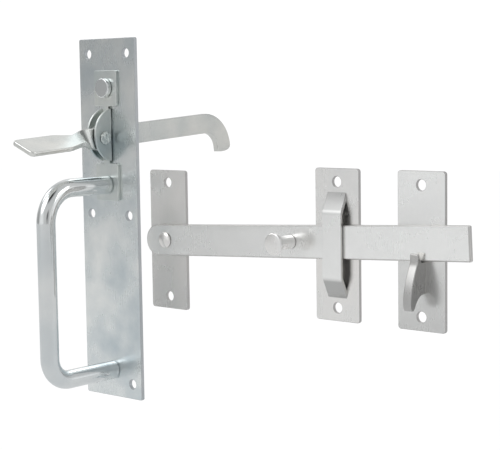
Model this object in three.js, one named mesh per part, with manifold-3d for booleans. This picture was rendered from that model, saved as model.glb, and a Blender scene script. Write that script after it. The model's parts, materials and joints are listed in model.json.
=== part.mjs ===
// A gate latch of the thumb-lever kind, laid out as a kit with every plate flat against one plane.
// Left: a long plate with a pull handle and a thumb lever whose arm reaches back through the plate.
// Right: a pivoted latch bar, the strap that guides it and the hooked catch that it drops into.
// Millimetres. X runs to the right, Y into the gate, Z up. The plates' backs lie in the plane Y = 0
// and the origin is the middle of the handle plate's back.

import * as THREE from 'three';
import { mergeVertices } from 'three/addons/utils/BufferGeometryUtils.js';
import Module from 'manifold-3d';

const wasm = await Module();
wasm.setup();

// ---- driving dimensions ----------------------------------------------------------------------

const gap = 0.3;                       // clearance kept between pieces that touch

const handlePlateWidth = 50;
const handlePlateHeight = 228;
const handlePlateThickness = 2.5;
const handlePlateCorner = 1.2;
const screwHoleDiameter = 6;
const screwHoleInset = 9.5;            // hole centre from the plate's top and bottom edges
const screwHoleSideInset = 8;          // hole centre from the handle plate's sides
const middleScrewHeight = 3;           // middle pair of holes, above the plate's centre

const bracketThickness = 1.6;
const bracketWidth = 20;
const bracketCorner = 1.5;
const bracketTop = 94;
const bracketBottom = 12;
const earRadius = 16.8;
const earCentreY = -0.6;
const earCentreZ = 53.6;
const earRelief = 1.6;                 // height of the notch that frees each ear from its flange
const earBendRadius = 1.6;
const earSideClearance = 0.5;          // between the lever and each ear

const bracketRivetZ = 83;
const bracketRivetHead = 12.4;
const bracketRivetHeadHeight = 3;
const bracketRivetShank = 7;
const bracketRivetEdge = 0.8;

const rodDiameter = 11.6;
const handleTopZ = 22;
const handleBottomZ = -96.8;
const gripCentreY = -56;
const topBendRadius = 21;
const bottomBendRadius = 15;
const rodEndChamfer = 0.9;
const rodEndStep = 0.1;                // how far each chamfer starts inside the rod's surface
const spigotDiameter = 8;

const pinY = -9.2;
const pinZ = 51.9;
const pinDiameter = 6;
const pinHeadDiameter = 8.4;
const pinHeadHeight = 0.9;
const pinHeadEdge = 0.4;

const slotTopClearance = 1.5;          // above the lever's arm at full press

const leverThickness = 4.2;
const leverEyeRadius = 8.6;
const armHeight = 13.2;
const armStraight = 94.9;               // from the pin to the start of the arm's bent end
const armBendRadius = 18;
const armBendAngle = 86;
const armTail = 3;
const armTailSwell = 1.8;              // how much further the tail's outer side reaches
const leverRestTilt = 3.8;             // the arm's rise at rest, in degrees
const leverTravel = 20;                // how far a full press turns the lever, in degrees
const padTip = 64.1;                   // from the pin to the end of the pad
const padLength = 30;                  // the full-width stretch behind the tip
const padWidth = 19.4;
const padThickness = 3.2;
const padCorner = 3;
const neckWidth = 13.6;
const twistStart = 7;                  // from the pin, towards the pad
const twistEnd = 19;
const twistAngle = 67;                 // from the upright blade to the pad, in degrees
const padCornerSweep = 76;             // degrees each pad corner turns before the flat tip

const smallPlateWidth = 30;
const smallPlateHeight = 85;
const smallPlateThickness = 2;
const smallPlateCorner = 1.8;
const smallScrewInset = 7.5;
const pivotX = 51;
const pivotZ = -10;
const guideX = 180.5;
const catchX = 236;
const guideZ = -5.5;
const catchZ = -5.5;

const barHeight = 19;
const barThickness = 3;
const barTail = 16;                    // from the pivot to the rounded end
const barReach = 217;                  // from the pivot to the square end
const barCorner = 1;
const barRestTilt = 2.8;               // the bar's rise towards the catch at rest, in degrees
const pivotShank = 6;
const pivotHead = 10;
const pivotHeadHeight = 1.6;

const knobReach = 99;                  // from the pivot to the knob
const knobStemDiameter = 8;
const knobHeadDiameter = 12.6;
const knobHeadThickness = 2.8;
const knobLength = 15.8;
const knobShank = 6;
const knobEdge = 0.6;
const knobCrown = 0.3;                 // how far the head's face swells

const strapWidth = 13;
const strapThickness = 2;
const strapFlatHalf = 18;
const strapFootHalf = 29.3;
const strapBendEase = 1.4;             // how far each outer bend is rounded along the strap
const strapTenonWidth = 8;
const strapTenonHeight = 3;
const strapTenonInset = 0.7;           // from the strap's end to its tenon

const hookThickness = 5;
const hookToothHeight = 4.6;           // how far the tooth stands above the bar's lower edge
const hookToothDepth = 3.6;
const hookDrop = 25;                   // from the notch to the hook's lowest point
const hookRampDepth = 6.6;             // how far the ramp's foot stands in front of the tooth
const hookRootHeight = 17;
const hookToothRound = 1.4;
const hookFootLength = 4.6;            // along the ramp's foot, front to back
const hookFootRound = 4;
const hookThroat = 3;                  // how far behind the foot the lower curve pulls in
const hookTenonHeight = 10;
const hookTenonThickness = 3;

const slotCutDepth = 1;                // how far each slot cutter runs past its plate
const bodyOverlap = 1;                 // how far joined bodies run into one another

// ---- worked-out places ----------------------------------------------------------------------

const handlePlateFront = -handlePlateThickness;
const bracketBack = handlePlateFront - gap;
const bracketFront = bracketBack - bracketThickness;
const earInner = leverThickness / 2 + earSideClearance;
const earOuter = earInner + bracketThickness;
const earTopAtBase = earCentreZ + Math.sqrt(earRadius ** 2 - (earCentreY - bracketFront) ** 2);
const earBottomAtBase = 2 * earCentreZ - earTopAtBase;

const smallPlateFront = -smallPlateThickness;
const barBack = smallPlateFront - gap;
const barFront = barBack - barThickness;
const strapInner = barFront - gap;
const strapOuter = strapInner - strapThickness;
const barRise = Math.tan(THREE.MathUtils.degToRad(barRestTilt));
const barLowerEdgeAtHook = pivotZ + barRise * (catchX - hookThickness / 2 - pivotX)
  - barHeight / 2 / Math.cos(THREE.MathUtils.degToRad(barRestTilt));
const notchZ = barLowerEdgeAtHook - gap;
const flushBack = -0.2;                // riveted ends stop just below the mounting plane

// ---- solids and joins -----------------------------------------------------------------------

function toSolid(geometry) {
  const bare = geometry.clone();
  bare.deleteAttribute('normal');
  bare.deleteAttribute('uv');
  const merged = mergeVertices(bare, 1e-4);
  return new wasm.Manifold(new wasm.Mesh({
    numProp: 3,
    vertProperties: new Float32Array(merged.attributes.position.array),
    triVerts: new Uint32Array(merged.index.array),
  }));
}

function toGeometry(solid) {
  const mesh = solid.getMesh();
  const geometry = new THREE.BufferGeometry();
  geometry.setAttribute('position', new THREE.BufferAttribute(mesh.vertProperties, 3));
  geometry.setIndex(new THREE.BufferAttribute(mesh.triVerts, 1));
  geometry.computeVertexNormals();
  return geometry;
}

function combine(bodies, cutters = []) {
  const joined = bodies.map(toSolid).reduce((sum, next) => sum.add(next));
  return toGeometry(cutters.map(toSolid).reduce((sum, next) => sum.subtract(next), joined));
}

// ---- drawing helpers ------------------------------------------------------------------------

function roundedRectangle(left, right, bottom, top, radius) {
  const shape = new THREE.Shape();
  shape.moveTo(left + radius, bottom);
  shape.absarc(right - radius, bottom + radius, radius, -Math.PI / 2, 0);
  shape.absarc(right - radius, top - radius, radius, 0, Math.PI / 2);
  shape.absarc(left + radius, top - radius, radius, Math.PI / 2, Math.PI);
  shape.absarc(left + radius, bottom + radius, radius, Math.PI, Math.PI * 1.5);
  return shape;
}

function plainExtrusion(shape, depth, curveSegments) {
  return new THREE.ExtrudeGeometry(shape, { depth, bevelEnabled: false, curveSegments });
}

// An outline drawn in X and Z, given thickness from its front face to its back face in Y.
function frontExtrusion(shape, front, back, curveSegments = 8) {
  const geometry = plainExtrusion(shape, back - front, curveSegments);
  geometry.rotateX(Math.PI / 2);
  geometry.translate(0, back, 0);
  return geometry;
}

// An outline drawn in Y and Z, given thickness from one X to another.
function sideExtrusion(shape, left, right, curveSegments = 8) {
  const geometry = plainExtrusion(shape, right - left, curveSegments);
  const xAxis = new THREE.Vector3(1, 0, 0);
  const yAxis = new THREE.Vector3(0, 1, 0);
  const zAxis = new THREE.Vector3(0, 0, 1);
  geometry.applyMatrix4(new THREE.Matrix4().makeBasis(yAxis, zAxis, xAxis));
  geometry.translate(left, 0, 0);
  return geometry;
}

function block(x0, x1, y0, y1, z0, z1) {
  const geometry = new THREE.BoxGeometry(x1 - x0, y1 - y0, z1 - z0);
  geometry.translate((x0 + x1) / 2, (y0 + y1) / 2, (z0 + z1) / 2);
  return geometry;
}

// A round piece whose axis runs along Y. Its profile lists [radius, y] from the front to the back.
function turned(profile, x, z, segments = 32) {
  const points = profile.map(([radius, y]) => new THREE.Vector2(radius, y));
  const geometry = new THREE.LatheGeometry(points, segments);
  geometry.translate(x, 0, z);
  return geometry;
}

// A round cutter along Y, long enough to pass through a plate from front to back.
function drill(diameter, x, z, front, back) {
  const geometry = cylinder(diameter, back - front + 2 * slotCutDepth);
  geometry.translate(x, (front + back) / 2, z);
  return geometry;
}

function cylinder(diameter, length, segments = 32) {
  return new THREE.CylinderGeometry(diameter / 2, diameter / 2, length, segments);
}

// A cylinder along X whose middle is on the lever's pin.
function alongPin(diameter, length, segments) {
  const geometry = cylinder(diameter, length, segments);
  geometry.rotateZ(Math.PI / 2);
  geometry.translate(0, pinY, pinZ);
  return geometry;
}

// A skin over a row of closed rings, with the first and last ring filled in.
function loft(rings) {
  const count = rings[0].length;
  const positions = rings.flat().flatMap((point) => [point.x, point.y, point.z]);
  const index = [];
  for (let ring = 0; ring < rings.length - 1; ring += 1) {
    for (let side = 0; side < count; side += 1) {
      const next = (side + 1) % count;
      const a = ring * count + side;
      const b = ring * count + next;
      index.push(a, b, a + count, b, b + count, a + count);
    }
  }
  const last = (rings.length - 1) * count;
  for (let side = 1; side < count - 1; side += 1) {
    index.push(0, side + 1, side, last, last + side, last + side + 1);
  }
  const geometry = new THREE.BufferGeometry();
  geometry.setAttribute('position', new THREE.Float32BufferAttribute(positions, 3));
  geometry.setIndex(index);
  return geometry;
}

// ---- handle set -----------------------------------------------------------------------------

const leverRest = THREE.MathUtils.degToRad(leverRestTilt);
const leverFull = THREE.MathUtils.degToRad(leverRestTilt + leverTravel);
const plateReach = handlePlateFront - pinY;
const bracketReach = bracketFront - pinY;
const armUnderside = (reach) => (
  pinZ + reach * Math.tan(leverRest) - armHeight / 2 / Math.cos(leverRest));
const eyeUnderside = (reach) => pinZ - Math.sqrt(leverEyeRadius ** 2 - reach ** 2);
const slotBottom = armUnderside(plateReach) - gap;
const bracketSlotBottom = Math.min(eyeUnderside(bracketReach), armUnderside(bracketReach)) - gap;
const slotTop = pinZ - pinY * Math.tan(leverFull) + armHeight / 2 / Math.cos(leverFull)
  + slotTopClearance;

function handlePlate() {
  const halfWidth = handlePlateWidth / 2;
  const halfHeight = handlePlateHeight / 2;
  const column = halfWidth - screwHoleSideInset;
  const outline = roundedRectangle(-halfWidth, halfWidth, -halfHeight, halfHeight, handlePlateCorner);
  const sheet = frontExtrusion(outline, handlePlateFront, 0);
  const cutters = [leverSlot(handlePlateFront, 0, slotBottom)];
  for (const z of [halfHeight - screwHoleInset, middleScrewHeight, -halfHeight + screwHoleInset]) {
    for (const x of [-column, column]) {
      cutters.push(drill(screwHoleDiameter, x, z, handlePlateFront, 0));
    }
  }
  for (const z of [handleTopZ, handleBottomZ]) {
    cutters.push(drill(spigotDiameter + 2 * gap, 0, z, handlePlateFront, 0));
  }
  cutters.push(drill(bracketRivetShank + 2 * gap, 0, bracketRivetZ, handlePlateFront, 0));
  return combine([sheet], cutters);
}

// The cutter for the opening that the lever's arm swings in.
function leverSlot(front, back, bottom) {
  return block(-earInner, earInner, front - slotCutDepth, back + slotCutDepth, bottom, slotTop);
}

// The bent strip: two flanges flat on the plate, and between them two ears that carry the pin.
function thumbBracket() {
  const half = bracketWidth / 2;
  const flange = (bottom, top) => frontExtrusion(
    roundedRectangle(-half, half, bottom, top, bracketCorner), bracketFront, bracketBack);
  const upper = flange(earTopAtBase + earRelief, bracketTop);
  const lower = flange(bracketBottom, earBottomAtBase - earRelief);

  const channel = new THREE.Shape();
  const earTip = earCentreY - earRadius - bodyOverlap;
  channel.moveTo(-earOuter, earTip);
  channel.lineTo(-earInner, earTip);
  channel.lineTo(-earInner, bracketFront);
  channel.lineTo(earInner, bracketFront);
  channel.lineTo(earInner, earTip);
  channel.lineTo(earOuter, earTip);
  const bendX = earOuter - earBendRadius;
  const bendY = bracketBack - earBendRadius;
  channel.absarc(bendX, bendY, earBendRadius, 0, Math.PI / 2);
  channel.absarc(-bendX, bendY, earBendRadius, Math.PI / 2, Math.PI);
  const webBottom = earBottomAtBase - earRelief - bodyOverlap;
  const webTop = earTopAtBase + earRelief + bodyOverlap;
  const folded = plainExtrusion(channel, webTop - webBottom, 6);
  folded.translate(0, 0, webBottom);

  const sideView = new THREE.Shape();
  const baseAngle = Math.acos((bracketFront - earCentreY) / earRadius);
  sideView.absarc(earCentreY, earCentreZ, earRadius, baseAngle, 2 * Math.PI - baseAngle);
  sideView.lineTo(bracketFront, webBottom);
  sideView.lineTo(0, webBottom);
  sideView.lineTo(0, webTop);
  sideView.lineTo(bracketFront, webTop);
  const silhouette = sideExtrusion(sideView, -half, half, 24);
  const ears = toGeometry(toSolid(folded).intersect(toSolid(silhouette)));

  return combine([upper, lower, ears], [
    alongPin(pinDiameter + 2 * gap, bracketWidth),
    leverSlot(bracketFront, bracketBack, bracketSlotBottom),
    drill(spigotDiameter + 2 * gap, 0, handleTopZ, bracketFront, bracketBack),
    drill(bracketRivetShank + 2 * gap, 0, bracketRivetZ, bracketFront, bracketBack),
  ]);
}

function bracketRivet() {
  const seat = bracketFront - gap;
  const top = seat - bracketRivetHeadHeight;
  const radius = bracketRivetHead / 2;
  return turned([
    [0, top],
    [radius - bracketRivetEdge, top],
    [radius - bracketRivetEdge / 3, top + bracketRivetEdge / 3],
    [radius, top + bracketRivetEdge],
    [radius, seat],
    [bracketRivetShank / 2, seat],
    [bracketRivetShank / 2, flushBack],
    [0, flushBack],
  ], 0, bracketRivetZ);
}

// The rod's centre line, drawn from the top shoulder round to the bottom one.
class HandleLine extends THREE.Curve {
  constructor(topShoulder, bottomShoulder) {
    super();
    const quarter = Math.PI / 2;
    const topStraight = topShoulder - gripCentreY - topBendRadius;
    const topArc = topBendRadius * quarter;
    const gripStraight = handleTopZ - handleBottomZ - topBendRadius - bottomBendRadius;
    const bottomArc = bottomBendRadius * quarter;
    const bottomStraight = bottomShoulder - gripCentreY - bottomBendRadius;
    this.topShoulder = topShoulder;
    this.bottomShoulder = bottomShoulder;
    this.ends = [topStraight, topArc, gripStraight, bottomArc, bottomStraight]
      .reduce((list, length) => [...list, list[list.length - 1] + length], [0]);
  }

  getPoint(fraction, target = new THREE.Vector3()) {
    const [, topBend, grip, bottomBend, bottomLeg, end] = this.ends;
    const along = fraction * end;
    if (along < topBend) {
      return target.set(0, this.topShoulder - along, handleTopZ);
    }
    if (along < grip) {
      const turn = (along - topBend) / topBendRadius;
      return target.set(0, gripCentreY + topBendRadius * (1 - Math.sin(turn)),
        handleTopZ - topBendRadius * (1 - Math.cos(turn)));
    }
    if (along < bottomBend) {
      return target.set(0, gripCentreY, handleTopZ - topBendRadius - (along - grip));
    }
    if (along < bottomLeg) {
      const turn = (along - bottomBend) / bottomBendRadius;
      return target.set(0, gripCentreY + bottomBendRadius * (1 - Math.cos(turn)),
        handleBottomZ + bottomBendRadius * (1 - Math.sin(turn)));
    }
    return target.set(0, this.bottomShoulder - (end - along), handleBottomZ);
  }
}

function pullHandle() {
  const radius = rodDiameter / 2;
  const shoulders = [[handleTopZ, bracketFront - gap], [handleBottomZ, handlePlateFront - gap]];
  const chamferStart = (shoulder) => shoulder - rodEndChamfer;
  const circle = new THREE.Shape();
  circle.absarc(0, 0, radius, 0, 2 * Math.PI);
  const line = new HandleLine(chamferStart(shoulders[0][1]), chamferStart(shoulders[1][1]));
  const sweep = { steps: 90, curveSegments: 10, extrudePath: line, bevelEnabled: false };
  const rod = new THREE.ExtrudeGeometry(circle, sweep);
  const ends = shoulders.map(([z, shoulder]) => turned([
    [0, chamferStart(shoulder) - bodyOverlap],
    [radius - rodEndStep, chamferStart(shoulder) - bodyOverlap],
    [radius - rodEndStep, chamferStart(shoulder)],
    [radius - rodEndChamfer, shoulder],
    [spigotDiameter / 2, shoulder],
    [spigotDiameter / 2, flushBack],
    [0, flushBack],
  ], 0, z));
  return combine([rod, ...ends]);
}

function leverPin() {
  const inside = earOuter + gap;
  const outside = inside + pinHeadHeight;
  const head = pinHeadDiameter / 2;
  const profile = [
    [0, -outside],
    [head - pinHeadEdge, -outside],
    [head, -inside - pinHeadEdge],
    [head, -inside],
    [pinDiameter / 2, -inside],
    [pinDiameter / 2, inside],
    [head, inside],
    [head, inside + pinHeadEdge],
    [head - pinHeadEdge, outside],
    [0, outside],
  ];
  const geometry = turned(profile, 0, 0);
  geometry.rotateZ(-Math.PI / 2);
  geometry.translate(0, pinY, pinZ);
  return geometry;
}

// The lever is drawn with its arm level and its pin at the origin, then set on the pin at rest.
function thumbLever() {
  const eye = cylinder(2 * leverEyeRadius, leverThickness, 48);
  eye.rotateZ(Math.PI / 2);
  const lever = combine([leverArm(), eye, leverPad()]);
  lever.rotateX(leverRest);
  lever.translate(0, pinY, pinZ);
  return combine([lever], [alongPin(pinDiameter + 2 * gap, leverThickness + 2 * slotCutDepth)]);
}

// The upright blade behind the pin: a straight arm whose end is bent down, with a rounded tail.
function leverArm() {
  const half = armHeight / 2;
  const bend = THREE.MathUtils.degToRad(armBendAngle);
  const outer = armBendRadius + half;
  const inner = armBendRadius - half;
  const onBend = (radius, beyond) => new THREE.Vector2(
    armStraight + radius * Math.sin(bend) + beyond * Math.cos(bend),
    -armBendRadius + radius * Math.cos(bend) - beyond * Math.sin(bend),
  );
  const innerTail = onBend(inner, armTail);
  const outerTail = onBend(outer, armTail * armTailSwell);
  const outerEnd = onBend(outer, 0);
  const arm = new THREE.Shape();
  arm.moveTo(-twistStart, -half);
  arm.lineTo(armStraight, -half);
  arm.absarc(armStraight, -armBendRadius, inner, Math.PI / 2, Math.PI / 2 - bend, true);
  arm.lineTo(innerTail.x, innerTail.y);
  arm.quadraticCurveTo(outerTail.x, outerTail.y, outerEnd.x, outerEnd.y);
  arm.absarc(armStraight, -armBendRadius, outer, Math.PI / 2 - bend, Math.PI / 2, false);
  arm.lineTo(-twistStart, half);
  return sideExtrusion(arm, -leverThickness / 2, leverThickness / 2, 16);
}

// The front of the lever: the upright blade twists over into a neck, which widens into the thumb pad.
function leverPad() {
  const fullWidthFrom = padTip - padLength;
  const reaches = [twistStart - bodyOverlap];
  const twistSteps = 12;
  for (let step = 0; step <= twistSteps; step += 1) {
    reaches.push(THREE.MathUtils.lerp(twistStart, twistEnd, step / twistSteps));
  }
  const widenSteps = 6;
  for (let step = 1; step <= widenSteps; step += 1) {
    reaches.push(THREE.MathUtils.lerp(twistEnd, fullWidthFrom, step / widenSteps));
  }
  const cornerSteps = 4;
  for (let step = 0; step <= cornerSteps; step += 1) {
    const turn = THREE.MathUtils.degToRad(padCornerSweep) * step / cornerSteps;
    reaches.push(padTip - padCorner * (1 - Math.sin(turn)));
  }
  return loft(reaches.map(leverSection));
}

// One section of the twist, neck or pad, at a distance from the pin.
function leverSection(reach) {
  const twisted = THREE.MathUtils.smoothstep(reach, twistStart, twistEnd);
  const widened = THREE.MathUtils.smoothstep(reach, twistEnd, padTip - padLength);
  const angle = THREE.MathUtils.degToRad(twistAngle) * twisted;
  const thickness = THREE.MathUtils.lerp(leverThickness, padThickness, twisted);
  const neck = THREE.MathUtils.lerp(armHeight, neckWidth, twisted);
  const intoCorner = Math.max(0, reach - (padTip - padCorner));
  const cornerLoss = padCorner - Math.sqrt(padCorner ** 2 - intoCorner ** 2);
  const width = THREE.MathUtils.lerp(neck, padWidth, widened) - 2 * cornerLoss;
  const corners = [[1, -1], [1, 1], [-1, 1], [-1, -1]];
  return corners.map(([sideways, upward]) => {
    const across = sideways * thickness / 2;
    const along = upward * width / 2;
    return new THREE.Vector3(
      across * Math.cos(angle) - along * Math.sin(angle),
      -reach,
      across * Math.sin(angle) + along * Math.cos(angle),
    );
  });
}

// ---- bar set --------------------------------------------------------------------------------

function smallPlate(x, z, cutters) {
  const halfWidth = smallPlateWidth / 2;
  const halfHeight = smallPlateHeight / 2;
  const outline = roundedRectangle(
    x - halfWidth, x + halfWidth, z - halfHeight, z + halfHeight, smallPlateCorner);
  const screwHoles = [1, -1].map((side) => drill(
    screwHoleDiameter, x, z + side * (halfHeight - smallScrewInset), smallPlateFront, 0));
  return combine([frontExtrusion(outline, smallPlateFront, 0)], [...screwHoles, ...cutters]);
}

function pivotPlate() {
  return smallPlate(pivotX, pivotZ, [drill(pivotShank + 2 * gap, pivotX, pivotZ, smallPlateFront, 0)]);
}

function pivotRivet() {
  const seat = barFront - gap;
  const radius = pivotHead / 2;
  const domeSteps = 5;
  const profile = [];
  for (let step = 0; step <= domeSteps; step += 1) {
    const turn = step / domeSteps * Math.PI / 2;
    profile.push([radius * Math.sin(turn), seat - pivotHeadHeight * Math.cos(turn)]);
  }
  profile.push([pivotShank / 2, seat], [pivotShank / 2, flushBack], [0, flushBack]);
  return turned(profile, pivotX, pivotZ);
}

// The bar is drawn level with its pivot at the origin and turned to its rest tilt at the end.
function latchBar() {
  const half = barHeight / 2;
  const outline = new THREE.Shape();
  outline.moveTo(-barTail + half, -half);
  outline.absarc(barReach - barCorner, -half + barCorner, barCorner, -Math.PI / 2, 0);
  outline.absarc(barReach - barCorner, half - barCorner, barCorner, 0, Math.PI / 2);
  outline.absarc(-barTail + half, 0, half, Math.PI / 2, Math.PI * 1.5);
  const strip = frontExtrusion(outline, barFront, barBack, 16);
  const bar = combine([strip], [
    drill(pivotShank + 2 * gap, 0, 0, barFront, barBack),
    drill(knobShank + 2 * gap, knobReach, 0, barFront, barBack),
  ]);
  return turnBarSetPiece(bar);
}

function turnBarSetPiece(geometry) {
  geometry.rotateY(-THREE.MathUtils.degToRad(barRestTilt));
  geometry.translate(pivotX, 0, pivotZ);
  return geometry;
}

function liftKnob() {
  const seat = barFront - gap;
  const top = barFront - knobLength;
  const headBack = top + knobHeadThickness;
  const head = knobHeadDiameter / 2;
  const stem = knobStemDiameter / 2;
  const knob = turned([
    [0, top - knobCrown],
    [head / 2, top - knobCrown * 3 / 4],
    [head - knobEdge, top],
    [head, top + knobEdge],
    [head, headBack - knobEdge],
    [head - knobEdge, headBack],
    [stem, headBack],
    [stem, seat],
    [knobShank / 2, seat],
    [knobShank / 2, barBack - gap],
    [0, barBack - gap],
  ], knobReach, 0);
  return turnBarSetPiece(knob);
}

const strapTenonZ = strapFootHalf - strapTenonHeight / 2 - strapTenonInset;

// A rectangle in X and Z about a middle point, made into a block from one Y to another.
function upright(x, z, width, height, front, back) {
  return block(x - width / 2, x + width / 2, front, back, z - height / 2, z + height / 2);
}

function smallPlateSlot(x, z, width, height) {
  const front = smallPlateFront - slotCutDepth;
  return upright(x, z, width + 2 * gap, height + 2 * gap, front, slotCutDepth);
}

function guidePlate() {
  const slots = [1, -1].map((side) => smallPlateSlot(
    guideX, guideZ + side * strapTenonZ, strapTenonWidth, strapTenonHeight));
  return smallPlate(guideX, guideZ, slots);
}

// A flat strap cranked away from the plate, with room behind it for the bar.
function guideStaple() {
  const foot = smallPlateFront - gap;
  const legAngle = Math.atan2(foot - strapOuter, strapFootHalf - strapFlatHalf);
  const footprint = strapThickness / Math.sin(legAngle);
  const innerFlatHalf = strapFlatHalf - strapThickness * Math.tan(legAngle / 2);
  const easeY = strapOuter + strapBendEase * Math.sin(legAngle);
  const easeHalf = strapFlatHalf + strapBendEase * Math.cos(legAngle);
  const bendEnd = strapFlatHalf - strapBendEase;
  const strap = new THREE.Shape();
  strap.moveTo(foot, guideZ - strapFootHalf);
  strap.lineTo(easeY, guideZ - easeHalf);
  strap.quadraticCurveTo(strapOuter, guideZ - strapFlatHalf, strapOuter, guideZ - bendEnd);
  strap.lineTo(strapOuter, guideZ + bendEnd);
  strap.quadraticCurveTo(strapOuter, guideZ + strapFlatHalf, easeY, guideZ + easeHalf);
  strap.lineTo(foot, guideZ + strapFootHalf);
  strap.lineTo(foot, guideZ + strapFootHalf - footprint);
  strap.lineTo(strapInner, guideZ + innerFlatHalf);
  strap.lineTo(strapInner, guideZ - innerFlatHalf);
  strap.lineTo(foot, guideZ - strapFootHalf + footprint);
  const bent = sideExtrusion(strap, guideX - strapWidth / 2, guideX + strapWidth / 2);
  const tenonRoot = foot - strapThickness / 2;
  const tenons = [1, -1].map((side) => upright(
    guideX, guideZ + side * strapTenonZ, strapTenonWidth, strapTenonHeight, tenonRoot, flushBack));
  return combine([bent, ...tenons]);
}

const hookTenonZ = notchZ - hookRootHeight / 2;

function catchPlate() {
  const slot = smallPlateSlot(catchX, hookTenonZ, hookTenonThickness, hookTenonHeight);
  return smallPlate(catchX, catchZ, [slot]);
}

// The catch: a ramp that lifts the bar as the gate closes, a tooth, and the notch behind it.
function catchHook() {
  const root = smallPlateFront - gap;
  const rootBottom = notchZ - hookRootHeight;
  const notchFront = barFront - gap;
  const toothFront = notchFront - hookToothDepth;
  const toothTop = barLowerEdgeAtHook + hookToothHeight;
  const rampFoot = toothFront - hookRampDepth;
  const lowest = notchZ - hookDrop;
  const footBack = rampFoot + hookFootLength;
  const footMiddle = rampFoot + hookFootLength / 2;
  const profile = new THREE.Shape();
  profile.moveTo(root, notchZ);
  profile.lineTo(notchFront, notchZ);
  profile.lineTo(toothFront + hookToothRound, toothTop);
  profile.quadraticCurveTo(toothFront, toothTop, toothFront, toothTop - hookToothRound);
  profile.lineTo(toothFront, notchZ);
  profile.quadraticCurveTo(rampFoot, notchZ - hookDrop / 2, rampFoot, lowest + hookFootRound);
  profile.quadraticCurveTo(rampFoot, lowest, footMiddle, lowest);
  profile.quadraticCurveTo(footBack - hookFootLength / 4, lowest, footBack, lowest + hookFootRound / 2);
  profile.quadraticCurveTo(footBack + hookThroat, rootBottom, root, rootBottom);
  const hook = sideExtrusion(profile, catchX - hookThickness / 2, catchX + hookThickness / 2, 10);
  const tenon = upright(
    catchX, hookTenonZ, hookTenonThickness, hookTenonHeight, root - bodyOverlap, flushBack);
  return combine([hook, tenon]);
}

// ---- the assembly ---------------------------------------------------------------------------

const brightZinc = { color: 0xb4babd, roughness: 0.24, metalness: 0.9 };
const satinZinc = { color: 0xcfcfce, roughness: 0.38, metalness: 0.85 };

const latch = new THREE.Group();

function addPiece(name, geometry, finish) {
  const piece = new THREE.Mesh(geometry, new THREE.MeshStandardMaterial(finish));
  piece.name = name;
  latch.add(piece);
}

addPiece('handle_plate', handlePlate(), brightZinc);
addPiece('thumb_bracket', thumbBracket(), brightZinc);
addPiece('bracket_rivet', bracketRivet(), brightZinc);
addPiece('pull_handle', pullHandle(), brightZinc);
addPiece('lever_pin', leverPin(), brightZinc);
addPiece('thumb_lever', thumbLever(), brightZinc);
addPiece('pivot_plate', pivotPlate(), satinZinc);
addPiece('pivot_rivet', pivotRivet(), satinZinc);
addPiece('latch_bar', latchBar(), satinZinc);
addPiece('lift_knob', liftKnob(), satinZinc);
addPiece('guide_plate', guidePlate(), satinZinc);
addPiece('guide_staple', guideStaple(), satinZinc);
addPiece('catch_plate', catchPlate(), satinZinc);
addPiece('catch_hook', catchHook(), satinZinc);

export default latch;
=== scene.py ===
"""Looks for a thumb-lever gate latch in zinc-plated steel, laid out as a kit on a plain studio stage."""

import json
import math

import bmesh
import bpy
from mathutils import Matrix, Vector
from mathutils.geometry import tessellate_polygon


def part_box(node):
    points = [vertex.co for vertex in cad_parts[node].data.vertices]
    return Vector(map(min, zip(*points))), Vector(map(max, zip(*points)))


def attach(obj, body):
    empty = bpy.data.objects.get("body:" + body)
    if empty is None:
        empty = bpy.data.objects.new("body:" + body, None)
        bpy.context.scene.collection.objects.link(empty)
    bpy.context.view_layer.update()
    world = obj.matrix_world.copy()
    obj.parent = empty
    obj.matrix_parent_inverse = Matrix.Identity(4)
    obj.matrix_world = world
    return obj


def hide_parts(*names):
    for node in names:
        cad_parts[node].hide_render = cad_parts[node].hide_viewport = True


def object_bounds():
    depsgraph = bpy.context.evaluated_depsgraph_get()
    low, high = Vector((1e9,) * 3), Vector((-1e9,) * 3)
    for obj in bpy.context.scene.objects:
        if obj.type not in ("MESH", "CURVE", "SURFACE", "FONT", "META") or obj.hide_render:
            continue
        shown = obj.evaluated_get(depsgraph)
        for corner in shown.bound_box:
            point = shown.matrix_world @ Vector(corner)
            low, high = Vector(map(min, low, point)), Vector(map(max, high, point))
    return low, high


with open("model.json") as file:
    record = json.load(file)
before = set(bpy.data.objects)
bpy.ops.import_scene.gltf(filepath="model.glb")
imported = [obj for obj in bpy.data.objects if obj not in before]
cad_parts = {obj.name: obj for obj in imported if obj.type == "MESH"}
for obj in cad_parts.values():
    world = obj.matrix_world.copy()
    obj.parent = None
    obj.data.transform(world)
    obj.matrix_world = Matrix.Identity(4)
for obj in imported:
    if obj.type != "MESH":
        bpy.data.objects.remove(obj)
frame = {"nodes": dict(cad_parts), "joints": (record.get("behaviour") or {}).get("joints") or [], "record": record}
cad_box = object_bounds()

# ---- driving values, in metres and degrees -----------------------------------------------------

LOOK_AT = Vector((0.1174, -0.0025, 0.0024))
CAMERA_DISTANCE = 0.813
CAMERA_YAW = 40.9          # how far the camera stands round to the right of the plates' normal
CAMERA_PITCH = 5.5         # how far it looks down
CAMERA_ROLL = -0.84
LENS = 100.8               # on a sensor 36 mm wide

FLOOR_DROP = 0.25          # from the lowest piece to the floor
FLOOR_SIZE = 12.0
FLOOR_GREY = 0.88
FLOOR_GLOW = 1.08          # what the camera sees of the floor's own light
FLOOR_GLOW_SHARE = 0.85    # how much of the camera's view of the floor is that light
BACKDROP_LEVEL = 1.05      # the plain white that the camera sees past the floor

SOFTBOX_SIZE = 0.8
SOFTBOX_POWER = 3
KEY_PLACE = (-1.6, -0.2, 1.3)
FILL_PLACE = (1.6, 0.6, 0.9)

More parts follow.
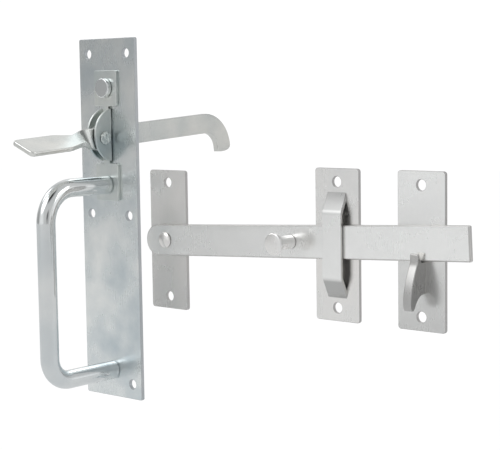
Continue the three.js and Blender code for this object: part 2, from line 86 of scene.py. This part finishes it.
# the studio tent: each patch has an azimuth (0 in front of the plates, 90 to their right), an
# elevation, a spread in degrees and the brightness that it adds to the tent's own level
TENT_COLOUR = (0.985, 0.995, 1, 1)
TENT_LEVEL = 0.64
TENT_PATCHES = (
    (-62, 0, 30, -0.26),
    (-8, 0, 36, 0.3),
    (-22, 44, 30, 2.0),
    (-41, -58, 36, -0.26),
    (60, 12, 12, -0.35),
    (64, 0, 22, -0.2),
    (116, 0, 30, 0.4),
    (165, 5, 26, -0.25),
    (35, 62, 24, -0.62),
    (-150, 28, 40, 0.22),
)

CLOUD_SCALE = 30           # noise scales in the plating: slow clouds, fine grain and rolling lines
GRAIN_SCALE = 520
LINE_SCALE = 160
LINE_STRETCH = (5, 5, 0.4)
NOISE_RANGE = (0.3, 0.7)   # the part of each noise that is spread over its whole effect
DULL_CAST = (0.82, 0.85, 0.86)     # the plating's colour in its duller clouds and its clearer ones
CLEAR_CAST = (1.09, 1.07, 1.04)
# no painted light or shade: the colour keeps its whole share along the axis
NO_PAINTED_SHADING = ("Z", 0, 1, 1, 1)

BEND_SIDES = 4             # steps round each rounded edge
SMALLEST_OUTLINE = 5e-6    # square metres; slivers below it are left out
PLATE_EDGE = 0.0003
BAR_EDGE = 0.0008
STRAP_EDGE = 0.0004
HOOK_EDGE = 0.0005
RIVET_EDGE = 0.0003
PIN_EDGE = 0.0002
DOME_EDGE = 0.0001
KNOB_EDGE = 0.0002
CREASE_ANGLE = 32          # degrees; sharper corners of the turned pieces are rounded

CLEARANCE = 0.0003
BRACKET_THICKNESS = 0.0016
EAR_EDGE = 0.0004
EAR_BEND_STEPS = 6
EAR_BEND_EDGE = 0.0001
EAR_OVERLAP = 0.0002       # how far each ear's bend runs into the ear
TOP_BEND = 0.021
BOTTOM_BEND = 0.015
ROD_SHOULDER = 0.0012
SPIGOT_RADIUS = 0.004
ROD_SIDES = 56
ROD_BEND_STEPS = 28
SHOULDER_STEPS = 4

LEVER_EDGE = 0.0006        # how far the blade's edges are rounded
PAD_EXTRA_EDGE = 0.0004    # and how much more the pad's are
LEVER_TILT = 3.8
TWIST_START = 0.007
TWIST_END = 0.019
TWIST_ANGLE = 67
ARM_HEIGHT = 0.0132
NECK_WIDTH = 0.0136
PAD_TIP = 0.0641
PAD_LENGTH = 0.030
PAD_WIDTH = 0.0194
PAD_THICKNESS = 0.0032
PAD_CORNER = 0.003
PAD_ROOT = 0.001           # how far the twist starts inside the blade
SECTION_STEPS = 4
SECTION_SPACING = 0.0008   # between sections, closing up towards the tip
TIP_SPACING = 0.00008

# ---- small helpers ------------------------------------------------------------------------------

def body_of(node):
    """The CAD body that a node belongs to."""
    groups = frame["record"]["behaviour"]["bodies"]
    return next(body for body, nodes in groups.items() if node in nodes)


# ---- camera, floor and light --------------------------------------------------------------------

def add_camera():
    """The camera looks at the middle of the set from its yaw, pitch and distance, with a slight roll."""
    yaw, pitch, roll = (math.radians(v) for v in (CAMERA_YAW, CAMERA_PITCH, CAMERA_ROLL))
    level_forward = Vector((-math.sin(yaw), math.cos(yaw), 0))
    forward = level_forward * math.cos(pitch) - Vector((0, 0, math.sin(pitch)))
    level_right = Vector((math.cos(yaw), math.sin(yaw), 0))
    level_up = level_right.cross(forward)
    right = level_right * math.cos(roll) + level_up * math.sin(roll)
    up = level_up * math.cos(roll) - level_right * math.sin(roll)
    data = bpy.data.cameras.new("camera")
    data.lens = LENS
    data.sensor_width = 36
    data.clip_start = 0.01
    data.clip_end = 50
    camera = bpy.data.objects.new("camera", data)
    axes = Matrix((right, up, -forward)).transposed().to_4x4()
    camera.matrix_world = Matrix.Translation(LOOK_AT - forward * CAMERA_DISTANCE) @ axes
    bpy.context.scene.collection.objects.link(camera)
    bpy.context.scene.camera = camera


def add_floor():
    """A pale floor that the camera sees as nearly plain white."""
    mesh = bpy.data.meshes.new("floor")
    half = FLOOR_SIZE / 2
    height = cad_box[0].z - FLOOR_DROP
    corners = [(-half, -half, height), (half, -half, height), (half, half, height), (-half, half, height)]
    mesh.from_pydata(corners, [], [(0, 1, 2, 3)])
    material = bpy.data.materials.new("floor")
    material.use_nodes = True
    nodes, links = material.node_tree.nodes, material.node_tree.links
    shader = nodes["Principled BSDF"]
    shader.inputs["Base Color"].default_value = (FLOOR_GREY, FLOOR_GREY, FLOOR_GREY, 1)
    shader.inputs["Roughness"].default_value = 0.9
    glow = nodes.new("ShaderNodeEmission")
    glow.inputs["Strength"].default_value = FLOOR_GLOW
    path = nodes.new("ShaderNodeLightPath")
    share = nodes.new("ShaderNodeMath")
    share.operation = "MULTIPLY"
    share.inputs[1].default_value = FLOOR_GLOW_SHARE
    links.new(path.outputs["Is Camera Ray"], share.inputs[0])
    mix = nodes.new("ShaderNodeMixShader")
    links.new(share.outputs[0], mix.inputs[0])
    links.new(shader.outputs[0], mix.inputs[1])
    links.new(glow.outputs[0], mix.inputs[2])
    links.new(mix.outputs[0], nodes["Material Output"].inputs["Surface"])
    mesh.materials.append(material)
    floor = bpy.data.objects.new("floor", mesh)
    bpy.context.scene.collection.objects.link(floor)


def add_softbox(name, place):
    data = bpy.data.lights.new(name, "AREA")
    data.shape = "SQUARE"
    data.size = SOFTBOX_SIZE
    data.energy = SOFTBOX_POWER
    light = bpy.data.objects.new(name, data)
    light.location = place
    light.rotation_euler = (LOOK_AT - Vector(place)).to_track_quat("-Z", "Y").to_euler()
    bpy.context.scene.collection.objects.link(light)


def add_world():
    """A pale tent all round, with the brighter and darker patches that bare metal mirrors."""
    world = bpy.data.worlds.new("studio")
    world.use_nodes = True
    nodes, links = world.node_tree.nodes, world.node_tree.links
    nodes.clear()
    coordinates = nodes.new("ShaderNodeTexCoord")

    def towards(azimuth, elevation, spread):
        """Fades from 1 towards a fixed direction in the room to 0 at the spread from it."""
        azimuth, elevation = math.radians(azimuth), math.radians(elevation)
        dot = nodes.new("ShaderNodeVectorMath")
        dot.operation = "DOT_PRODUCT"
        links.new(coordinates.outputs["Generated"], dot.inputs[0])
        dot.inputs[1].default_value = (math.sin(azimuth) * math.cos(elevation),
                                       -math.cos(azimuth) * math.cos(elevation), math.sin(elevation))
        fade = nodes.new("ShaderNodeMapRange")
        fade.interpolation_type = "SMOOTHSTEP"
        fade.inputs["From Min"].default_value = math.cos(math.radians(spread))
        fade.inputs["From Max"].default_value = 1
        links.new(dot.outputs["Value"], fade.inputs["Value"])
        return fade.outputs[0]

    level = None
    for azimuth, elevation, spread, gain in TENT_PATCHES:
        scale = nodes.new("ShaderNodeMath")
        scale.operation = "MULTIPLY_ADD"
        links.new(towards(azimuth, elevation, spread), scale.inputs[0])
        scale.inputs[1].default_value = gain
        if level is None:
            scale.inputs[2].default_value = TENT_LEVEL
        else:
            links.new(level, scale.inputs[2])
        level = scale.outputs[0]
    around = nodes.new("ShaderNodeBackground")
    around.inputs["Color"].default_value = TENT_COLOUR
    links.new(level, around.inputs["Strength"])
    behind = nodes.new("ShaderNodeBackground")
    behind.inputs["Color"].default_value = (1, 1, 1, 1)
    behind.inputs["Strength"].default_value = BACKDROP_LEVEL
    path = nodes.new("ShaderNodeLightPath")
    mix = nodes.new("ShaderNodeMixShader")
    links.new(path.outputs["Is Camera Ray"], mix.inputs[0])
    links.new(around.outputs[0], mix.inputs[1])
    links.new(behind.outputs[0], mix.inputs[2])
    output = nodes.new("ShaderNodeOutputWorld")
    links.new(mix.outputs[0], output.inputs["Surface"])
    bpy.context.scene.world = world


# ---- materials ----------------------------------------------------------------------------------

def zinc(name, colour, roughness, mottling, painted_shading=NO_PAINTED_SHADING, dents=(0.03, 0.00002)):
    """Zinc plate on steel: clouding, fine rolling lines, uneven gloss and painted light and shade, a slow change
    in tone along one axis.

    The painted shading is an axis, two places along it and the share of the colour at each of them,
    standing in for light and shade that fall unevenly over the piece. The dents are the strength and
    depth of the small unevenness in the surface.
    """
    material = bpy.data.materials.new(name)
    material.use_nodes = True
    nodes, links = material.node_tree.nodes, material.node_tree.links
    shader = nodes["Principled BSDF"]
    shader.inputs["Metallic"].default_value = 1
    coordinates = nodes.new("ShaderNodeTexCoord")

    def noise(scale, detail, stretch=(1, 1, 1)):
        mapping = nodes.new("ShaderNodeMapping")
        mapping.inputs["Scale"].default_value = stretch
        links.new(coordinates.outputs["Object"], mapping.inputs["Vector"])
        texture = nodes.new("ShaderNodeTexNoise")
        texture.inputs["Scale"].default_value = scale
        texture.inputs["Detail"].default_value = detail
        links.new(mapping.outputs[0], texture.inputs["Vector"])
        return texture.outputs["Fac"]

    def remap(value, low, high):
        node = nodes.new("ShaderNodeMapRange")
        node.inputs["From Min"].default_value = NOISE_RANGE[0]
        node.inputs["From Max"].default_value = NOISE_RANGE[1]
        node.inputs["To Min"].default_value = low
        node.inputs["To Max"].default_value = high
        links.new(value, node.inputs["Value"])
        return node.outputs[0]

    clouds = noise(CLOUD_SCALE, 4)
    grain = noise(GRAIN_SCALE, 2)
    lines = noise(LINE_SCALE, 3, LINE_STRETCH)

    tone = nodes.new("ShaderNodeMix")
    tone.data_type = "RGBA"
    links.new(remap(clouds, 0, 1), tone.inputs["Factor"])
    for socket, cast in (("A", DULL_CAST), ("B", CLEAR_CAST)):
        mixed = (c * (1 + (k - 1) * mottling) for c, k in zip(colour, cast))
        tone.inputs[socket].default_value = (*(min(1, c) for c in mixed), 1)

    tint = nodes.new("ShaderNodeMix")
    tint.data_type = "RGBA"
    tint.blend_type = "MULTIPLY"
    tint.inputs["Factor"].default_value = 1
    links.new(tone.outputs["Result"], tint.inputs["A"])
    # painted light and shade: the colour is scaled up or down along one axis of the piece, standing in for light
    # and shade
    shade = nodes.new("ShaderNodeCombineColor")
    places = nodes.new("ShaderNodeSeparateXYZ")
    links.new(coordinates.outputs["Object"], places.inputs[0])
    along = nodes.new("ShaderNodeMapRange")
    axis, *limits = painted_shading
    for socket, limit in zip(("From Min", "From Max", "To Min", "To Max"), limits):
        along.inputs[socket].default_value = limit
    links.new(places.outputs[axis], along.inputs["Value"])
    level = nodes.new("ShaderNodeMath")
    level.operation = "MULTIPLY"
    links.new(along.outputs[0], level.inputs[0])
    links.new(remap(grain, 0.985, 1.01), level.inputs[1])
    for channel in ("Red", "Green", "Blue"):
        links.new(level.outputs[0], shade.inputs[channel])
    links.new(shade.outputs[0], tint.inputs["B"])
    links.new(tint.outputs["Result"], shader.inputs["Base Color"])

    gloss = nodes.new("ShaderNodeMath")
    gloss.operation = "ADD"
    links.new(remap(lines, roughness - 0.008, roughness + 0.008), gloss.inputs[0])
    links.new(remap(clouds, 0.04, -0.03), gloss.inputs[1])
    links.new(gloss.outputs[0], shader.inputs["Roughness"])

    bump = nodes.new("ShaderNodeBump")
    bump.inputs["Strength"].default_value = dents[0]
    bump.inputs["Distance"].default_value = dents[1]
    links.new(grain, bump.inputs["Height"])
    links.new(bump.outputs[0], shader.inputs["Normal"])
    return material


# ---- pieces -------------------------------------------------------------------------------------

def add_piece(name, work, material, node):
    """Turns a bmesh into a piece that stands for a CAD node and rides on its body."""
    mesh = bpy.data.meshes.new(name)
    bmesh.ops.recalc_face_normals(work, faces=work.faces)
    for face in work.faces:
        face.smooth = True
    work.to_mesh(mesh)
    work.free()
    mesh.materials.append(material)
    piece = bpy.data.objects.new(name, mesh)
    bpy.context.scene.collection.objects.link(piece)
    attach(piece, body_of(node))
    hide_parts(node)
    return piece


def weigh_normals(piece):
    """Lets the large flats set the shading, so that they stay flat beside their rounded edges."""
    normals = piece.modifiers.new("normals", "WEIGHTED_NORMAL")
    normals.mode = "FACE_AREA"
    normals.weight = 100


def node_mesh(node):
    """The node's mesh with its split corners joined again."""
    work = bmesh.new()
    work.from_mesh(frame["nodes"][node].data)
    bmesh.ops.remove_doubles(work, verts=work.verts, dist=1e-6)
    return work


def flat_outlines(node, axis):
    """The outlines of a node's flats that face along an axis, listed by their place on it."""
    across, up = [(1, 2), (0, 2), (0, 1)][axis]
    work = node_mesh(node)
    flats = {}
    for face in work.faces:
        if face.normal[axis] > 0.9999:
            flats.setdefault(round(face.calc_center_median()[axis], 5), set()).add(face)
    found = {}
    for place, faces in flats.items():
        rim = {}
        for face in faces:
            for loop in face.loops:
                if not any(other in faces for other in loop.edge.link_faces if other is not face):
                    rim[loop.vert] = loop.link_loop_next.vert
        outlines = []
        while rim:
            vert = next(iter(rim))
            ring = []
            while vert in rim:
                ring.append(Vector((vert.co[across], vert.co[up])))
                vert = rim.pop(vert)
            outlines.append(tidy_outline(ring))
        found[place] = [ring for ring in outlines if abs(signed_area(ring)) > SMALLEST_OUTLINE]
    work.free()
    return found


def tidy_outline(ring):
    """Leaves out the points that lie on a straight side."""
    kept = []
    for before, point, after in zip(ring[-1:] + ring[:-1], ring, ring[1:] + ring[:1]):
        turn = (point - before).normalized().cross((after - point).normalized())
        if abs(turn) > 0.01:
            kept.append(point)
    return kept


def signed_area(ring):
    """The area that an outline encloses, positive when it runs anticlockwise."""
    return sum(a.cross(b) for a, b in zip(ring, ring[1:] + ring[:1])) / 2


def inside(point, ring):
    """Whether a point lies within an outline."""
    hit = False
    for a, b in zip(ring, ring[1:] + ring[:1]):
        if (a.y > point.y) != (b.y > point.y):
            if point.x < (b.x - a.x) * (point.y - a.y) / (b.y - a.y) + a.x:
                hit = not hit
    return hit


def inset(ring, distance):
    """The outline moved into the metal: inwards for an outer outline, outwards for a hole."""
    moved = []
    for before, point, after in zip(ring[-1:] + ring[:-1], ring, ring[1:] + ring[:1]):
        first = (point - before).normalized()
        second = (after - point).normalized()
        normal = Vector((-first.y - second.y, first.x + second.x)).normalized()
        stretch = max(0.35, normal.dot(Vector((-first.y, first.x))))
        moved.append(point + normal * distance / stretch)
    return moved


def rounded_sheet(work, outlines, low, high, edge, axis, cap_slot=0, wall_slot=0):
    """A flat piece of one thickness whose outlines, holes included, have rounded edges."""
    across, up = [(1, 2), (0, 2), (0, 1)][axis]
    steps = [math.pi / 2 * step / BEND_SIDES for step in range(BEND_SIDES + 1)]
    layers = [(edge * (1 - math.sin(t)), low + edge * (1 - math.cos(t))) for t in steps]
    layers += [(inward, high - (place - low)) for inward, place in reversed(layers)]

    def vertex(point, place):
        spot = [0, 0, 0]
        spot[axis] = place
        spot[across] = point.x
        spot[up] = point.y
        return work.verts.new(spot)

    def depth(ring):
        return sum(inside(ring[0], other) for other in outlines if other is not ring)

    for outer in (ring for ring in outlines if depth(ring) % 2 == 0):
        holes = [ring for ring in outlines
                 if depth(ring) == depth(outer) + 1 and inside(ring[0], outer)]
        ends = ([], [])
        for ring in (outer, *holes):
            if (signed_area(ring) > 0) != (ring is outer):
                ring = ring[::-1]
            rows = [[vertex(p, place) for p in inset(ring, inward)] for inward, place in layers]
            for lower, upper in zip(rows, rows[1:]):
                for side in range(len(ring)):
                    after = (side + 1) % len(ring)
                    face = work.faces.new((lower[side], lower[after], upper[after], upper[side]))
                    face.material_index = wall_slot
            ends[0].append(rows[0])
            ends[1].append(rows[-1])
        for cap in ends:
            verts = [vert for ring in cap for vert in ring]
            for triangle in tessellate_polygon([[vert.co for vert in ring] for ring in cap]):
                work.faces.new([verts[index] for index in triangle]).material_index = cap_slot


def seated(ring, node_below):
    """The outline with the points that bear on the plate below moved onto it, over the clearance."""
    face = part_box(node_below)[0].y
    return [Vector((face, p.y)) if abs(p.x - (face - CLEARANCE)) < 1e-5 else p for p in ring]


def sheet_piece(node, materials, axis, edge, seat=None):
    """A piece cut from sheet or bar: each pair of the node's flats becomes one rounded sheet.

    The materials are for the sheet's two faces and for the cut edge between them.
    """
    low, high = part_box(node)
    middle = (low[axis] + high[axis]) / 2
    work = bmesh.new()
    for place, outlines in flat_outlines(node, axis).items():
        half = place - middle
        if half > 0:
            if seat:
                outlines = [seated(ring, seat) for ring in outlines]
            rounded_sheet(work, outlines, middle - half, middle + half, edge, axis, 0, 1)
    piece = add_piece(node + "_fine", work, materials[0], node)
    piece.data.materials.append(materials[1])
    weigh_normals(piece)


def turned_piece(node, material, edge):
    """A turned piece with the node's form, its corners rounded."""
    work = node_mesh(node)
    bmesh.ops.dissolve_limit(work, angle_limit=math.radians(0.8), verts=work.verts, edges=work.edges)
    piece = add_piece(node + "_fine", work, material, node)
    bevel = piece.modifiers.new("edges", "BEVEL")
    bevel.width = edge
    bevel.segments = 3
    bevel.limit_method = "ANGLE"
    bevel.angle_limit = math.radians(CREASE_ANGLE)
    bevel.use_clamp_overlap = False
    weigh_normals(piece)


def skin(work, rings):
    """A closed skin over a row of rings, with the first and last ring filled in."""
    rows = [[work.verts.new(point) for point in ring] for ring in rings]
    for lower, upper in zip(rows, rows[1:]):
        for side in range(len(lower)):
            after = (side + 1) % len(lower)
            work.faces.new((lower[side], lower[after], upper[after], upper[side]))
    work.faces.new(rows[0][::-1])
    work.faces.new(rows[-1])


def thumb_bracket(material):
    """The bent strip: flat flanges and web, two ears, and the bend that joins each ear to the web."""
    node = "thumb_bracket"
    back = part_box(node)[1].y
    sides = flat_outlines(node, 0)
    ear_outer = min(place for place in sides if place > BRACKET_THICKNESS)
    ear_inner = ear_outer - BRACKET_THICKNESS
    ear = max(sides[ear_outer], key=lambda ring: abs(signed_area(ring)))
    flat = flat_outlines(node, 1)[round(back, 5)]
    work = bmesh.new()
    rounded_sheet(work, flat, back - BRACKET_THICKNESS, back + CLEARANCE, PLATE_EDGE, 1)
    for side in (-1, 1):
        near, far = sorted((side * ear_inner, side * ear_outer))
        rounded_sheet(work, [ear], near, far, EAR_EDGE, 0)

    ear_base = max(point.x for point in ear)
    bend = back - ear_base
    heights = [point.y for point in ear if point.x > ear_base - 1e-5]
    for side in (-1, 1):
        section = [Vector((side * x, ear_base - EAR_OVERLAP)) for x in (ear_inner, ear_outer)]
        for step in range(EAR_BEND_STEPS + 1):
            turn = math.pi / 2 * step / EAR_BEND_STEPS
            section.append(Vector((side * (ear_outer - bend + bend * math.cos(turn)),
                                   ear_base + bend * math.sin(turn))))
        section.append(Vector((side * ear_inner, back)))
        rounded_sheet(work, [section], min(heights), max(heights), EAR_BEND_EDGE, 2)
    weigh_normals(add_piece("thumb_bracket_fine", work, material, node))


def pull_handle(material):
    """The round rod: two legs, two bends, rounded shoulders and the spigots riveted into the plates."""
    low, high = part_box("pull_handle")
    radius = (high.x - low.x) / 2
    grip_y = low.y + radius
    top_z = high.z - radius
    bottom_z = low.z + radius
    top_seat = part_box("thumb_bracket")[1].y - BRACKET_THICKNESS
    bottom_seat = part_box("handle_plate")[0].y

    path = []
    quarter = math.pi / 2
    for step in range(ROD_BEND_STEPS + 1):
        turn = quarter * step / ROD_BEND_STEPS
        centre = Vector((0, grip_y + TOP_BEND * (1 - math.sin(turn)),
                         top_z - TOP_BEND * (1 - math.cos(turn))))
        path.append((centre, Vector((0, -math.cos(turn), -math.sin(turn)))))
    for step in range(ROD_BEND_STEPS + 1):
        turn = quarter * step / ROD_BEND_STEPS
        centre = Vector((0, grip_y + BOTTOM_BEND * (1 - math.cos(turn)),
                         bottom_z + BOTTOM_BEND * (1 - math.sin(turn))))
        path.append((centre, Vector((0, math.sin(turn), -math.cos(turn)))))

    def end_rings(seat, z, heading):
        """Rings from the leg to the end of its spigot, each as (centre, heading, radius)."""
        rings = []
        for step in range(SHOULDER_STEPS + 1):
            turn = quarter * step / SHOULDER_STEPS
            rings.append((seat - ROD_SHOULDER * (1 - math.sin(turn)),
                          radius - ROD_SHOULDER * (1 - math.cos(turn))))
        rings.append((seat, SPIGOT_RADIUS))
        rings.append((high.y, SPIGOT_RADIUS))
        return [(Vector((0, y, z)), heading, ring_radius) for y, ring_radius in rings]

    out = Vector((0, -1, 0))
    sections = end_rings(top_seat, top_z, out)[::-1]
    sections += [(centre, heading, radius) for centre, heading in path]
    sections += end_rings(bottom_seat, bottom_z, -out)
    rings = []
    for centre, heading, ring_radius in sections:
        across = Vector((1, 0, 0))
        up = heading.cross(across)
        rings.append([centre + (across * math.cos(a) + up * math.sin(a)) * ring_radius
                      for a in (2 * math.pi * side / ROD_SIDES for side in range(ROD_SIDES))])
    work = bmesh.new()
    skin(work, rings)
    weigh_normals(add_piece("pull_handle_fine", work, material, "pull_handle"))


def rounded_section(width, thickness, corner):
    """Points round a bar's section, with its four corners rounded."""
    points = []
    for middle, start in (((1, 1), 0), ((-1, 1), 90), ((-1, -1), 180), ((1, -1), 270)):
        for step in range(SECTION_STEPS + 1):
            turn = math.radians(start + 90 * step / SECTION_STEPS)
            points.append(Vector((middle[0] * (thickness / 2 - corner) + corner * math.cos(turn),
                                  middle[1] * (width / 2 - corner) + corner * math.sin(turn))))
    return points


def smooth_step(value, start, end):
    """Eases from 0 at the start to 1 at the end."""
    share = min(1, max(0, (value - start) / (end - start)))
    return share * share * (3 - 2 * share)


def lever_section(reach, blade_thickness):
    """The width, thickness, edge rounding and twist of the lever's front part at a reach from the pin."""
    share = smooth_step(reach, TWIST_START, TWIST_END)
    widened = smooth_step(reach, TWIST_END, PAD_TIP - PAD_LENGTH)
    neck = ARM_HEIGHT + (NECK_WIDTH - ARM_HEIGHT) * share
    width = neck + (PAD_WIDTH - neck) * widened
    thickness = blade_thickness + (PAD_THICKNESS - blade_thickness) * share
    left = PAD_TIP - reach
    if left < PAD_CORNER:
        width -= 2 * (PAD_CORNER - math.sqrt(max(0, PAD_CORNER ** 2 - (PAD_CORNER - left) ** 2)))
    edge = min(LEVER_EDGE + PAD_EXTRA_EDGE * share, thickness * 0.45)
    if left < edge:
        thickness -= 2 * (edge - math.sqrt(max(0, edge ** 2 - (edge - left) ** 2)))
        edge = min(edge, thickness * 0.45)
    return width, thickness, edge, math.radians(TWIST_ANGLE) * share


def thumb_lever(material):
    """The forged lever: the blade with its eye and bent end, then the twist and the flat thumb pad."""
    node = "thumb_lever"
    pin = Vector(next(j for j in frame["joints"] if j["child"] == body_of(node))["pos_m"])
    half, outlines = max(flat_outlines(node, 0).items(),
                         key=lambda item: sum(map(abs, map(signed_area, item[1]))))
    work = bmesh.new()
    rounded_sheet(work, outlines, -half, half, LEVER_EDGE, 0)

    tilt = math.radians(LEVER_TILT)
    along = Vector((0, -math.cos(tilt), -math.sin(tilt)))
    up = Vector((0, -math.sin(tilt), math.cos(tilt)))
    across = Vector((1, 0, 0))
    rings = []
    reach = TWIST_START - PAD_ROOT
    while reach < PAD_TIP:
        width, thickness, edge, turn = lever_section(reach, 2 * half)
        side = across * math.cos(turn) + up * math.sin(turn)
        tall = up * math.cos(turn) - across * math.sin(turn)
        rings.append([pin + along * reach + side * p.x + tall * p.y
                      for p in rounded_section(width, thickness, edge)])
        reach += min(SECTION_SPACING, max(TIP_SPACING, (PAD_TIP - reach) / 4))
    skin(work, rings)
    weigh_normals(add_piece("thumb_lever_fine", work, material, node))


# ---- the stage and the pieces -------------------------------------------------------------------

add_camera()
add_world()
add_floor()
add_softbox("key", KEY_PLACE)
add_softbox("fill", FILL_PLACE)


def satin(name, level, painted_shading=NO_PAINTED_SHADING):
    """The bar set's duller, more neutral plating."""
    colour = (level, level * 0.985, level * 0.97)
    return zinc("satin_zinc_" + name, colour, 0.26, 0.4, painted_shading, dents=(0.01, 0.00001))


# painted light and shade: the handle plate is made brighter towards its bottom and darker towards its top
plate_zinc_painted_shading = zinc("bright_zinc", (0.74, 0.77, 0.79), 0.27, 1.7, ("Z", -0.1, 0.1, 1.14, 0.92))
plate_edge = zinc("bright_zinc_edge", (0.5, 0.52, 0.54), 0.35, 0.6)
bracket_zinc = zinc("bracket_zinc", (0.73, 0.76, 0.76), 0.29, 2.2)
peened_zinc = zinc("peened_zinc", (0.86, 0.88, 0.86), 0.22, 2, dents=(1, 0.002))
rod_zinc = zinc("rod_zinc", (0.76, 0.78, 0.79), 0.12, 0.8)
# painted shade: the lever is made darker towards the handle plate and behind it
lever_zinc_painted_shade = zinc("lever_zinc_painted_shade", (0.76, 0.765, 0.75), 0.25, 1, ("Y", -0.02, 0.02, 1, 0.86))

satin_edge = zinc("satin_zinc_edge", (0.5, 0.49, 0.485), 0.35, 0.3)
bar_edge = zinc("sheared_zinc_edge", (0.62, 0.61, 0.6), 0.3, 0.3)
# painted shade: the pivot and catch plates are made darker towards their bottoms, and the pivot plate is given a
# lower level than the catch plate
pivot_satin_painted_shade = satin("pivot", 0.8, ("Z", -0.05, 0.03, 0.82, 1))
catch_satin_painted_shade = satin("catch", 1, ("Z", -0.045, 0.025, 0.72, 1))
# painted shade: the latch bar is made darker towards its left end
bar_satin_painted_shade = satin("bar", 1, ("X", 0.1, 0.2, 0.84, 1))
# painted shade: the guide strap's legs are made half as bright as its front
strap_satin_painted_shade = satin("strap", 1, ("Y", -0.0077, -0.0066, 1, 0.5))
strap_materials = (satin("strap_side", 0.6), strap_satin_painted_shade)
# painted shade: the catch hook's sides and edges are given levels 0.36 and 0.52, far darker than the catch plate
# of the same metal
hook_painted_shade_materials = (satin("hook_side_painted_shade", 0.36), satin("hook", 0.52))

sheet_piece("handle_plate", (plate_zinc_painted_shading, plate_edge), 1, PLATE_EDGE)
sheet_piece("pivot_plate", (pivot_satin_painted_shade, satin_edge), 1, PLATE_EDGE)
# painted light and shade: the guide plate's level 0.9 sits between the pivot plate's and the catch plate's, so the
# plates brighten towards the right
sheet_piece("guide_plate", (satin("guide", 0.9), satin_edge), 1, PLATE_EDGE)
sheet_piece("catch_plate", (catch_satin_painted_shade, satin_edge), 1, PLATE_EDGE)
sheet_piece("latch_bar", (bar_satin_painted_shade, bar_edge), 1, BAR_EDGE)
sheet_piece("guide_staple", strap_materials, 0, STRAP_EDGE, "guide_plate")
sheet_piece("catch_hook", hook_painted_shade_materials, 0, HOOK_EDGE, "catch_plate")
thumb_lever(lever_zinc_painted_shade)
turned_piece("bracket_rivet", rod_zinc, RIVET_EDGE)
turned_piece("lever_pin", peened_zinc, PIN_EDGE)
pull_handle(rod_zinc)
# painted shade: the pivot rivet and lift knob are given the lower levels 0.8 and 0.9 of the same satin plating
turned_piece("pivot_rivet", satin("rivet", 0.8), DOME_EDGE)
turned_piece("lift_knob", satin("knob", 0.9), KNOB_EDGE)
thumb_bracket(bracket_zinc)

bpy.context.scene.view_settings.view_transform = "Standard"
